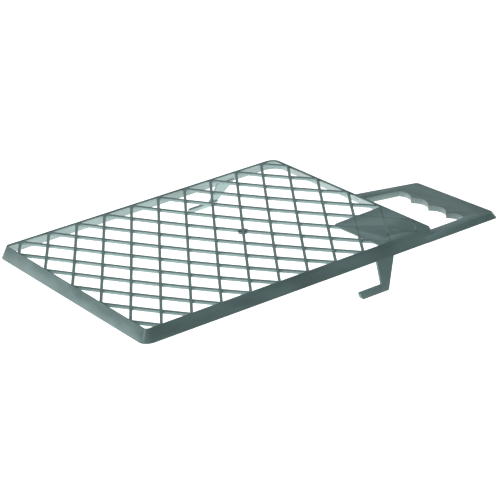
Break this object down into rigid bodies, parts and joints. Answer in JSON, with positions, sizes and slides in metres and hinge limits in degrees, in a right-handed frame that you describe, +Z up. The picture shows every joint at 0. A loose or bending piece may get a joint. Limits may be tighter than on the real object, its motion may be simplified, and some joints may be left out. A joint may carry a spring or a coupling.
{
  "type": "paint roller scraper grid",
  "caption": "Flat plastic bucket grid for wiping paint rollers: diamond lattice in a flared rim, scalloped finger handle at one end, two side hooks.",
  "frame": {"origin": "centre of the bounding box's bottom, at the height of the hooks' lowest face", "axes": "+X towards the handle, +Y across the grid away from the handle's long side, +Z up, out of the lattice's top"},
  "size_m": [0.3428, 0.2568, 0.0316],
  "materials": {
    "rim": "satin grey-green moulded polypropylene with faint flow streaks",
    "lattice": "satin grey-green moulded polypropylene, slightly translucent",
    "web": "satin grey-green moulded polypropylene, thin and slightly translucent",
    "handle": "satin grey-green moulded polypropylene",
    "hook": "satin grey-green moulded polypropylene"
  },
  "bodies": {
    "root": {"corner_web": "web", "gate_disc": "web", "handle_far_arm": "handle", "handle_grip": "handle", "handle_near_arm": "handle", "hook_foot_far": "hook", "hook_foot_near": "hook", "hook_leg_far": "hook", "hook_leg_near": "hook", "rib_a01": "lattice", "rib_a02": "lattice", "rib_a03": "lattice", "rib_a04": "lattice", "rib_a05": "lattice", "rib_a06": "lattice", "rib_a07": "lattice", "rib_a08": "lattice", "rib_a09_far": "lattice", "rib_a09_near": "lattice", "rib_a10": "lattice", "rib_a11": "lattice", "rib_a12": "lattice", "rib_a13_far": "lattice", "rib_a13_near": "lattice", "rib_b01": "lattice", "rib_b02": "lattice", "rib_b03": "lattice", "rib_b04": "lattice", "rib_b05": "lattice", "rib_b06": "lattice", "rib_b07": "lattice", "rib_b08": "lattice", "rib_b09_far": "lattice", "rib_b09_near": "lattice", "rib_b10": "lattice", "rib_b11": "lattice", "rib_b12": "lattice", "rib_b13": "lattice", "rib_b14": "lattice", "rib_b15": "lattice", "rim_corner_far_handle": "rim", "rim_corner_far_toe": "rim", "rim_corner_near_handle": "rim", "rim_corner_near_toe": "rim", "rim_wall_far": "rim", "rim_wall_handle_end": "rim", "rim_wall_near": "rim", "rim_wall_toe": "rim"}
  },
  "joints": []
}
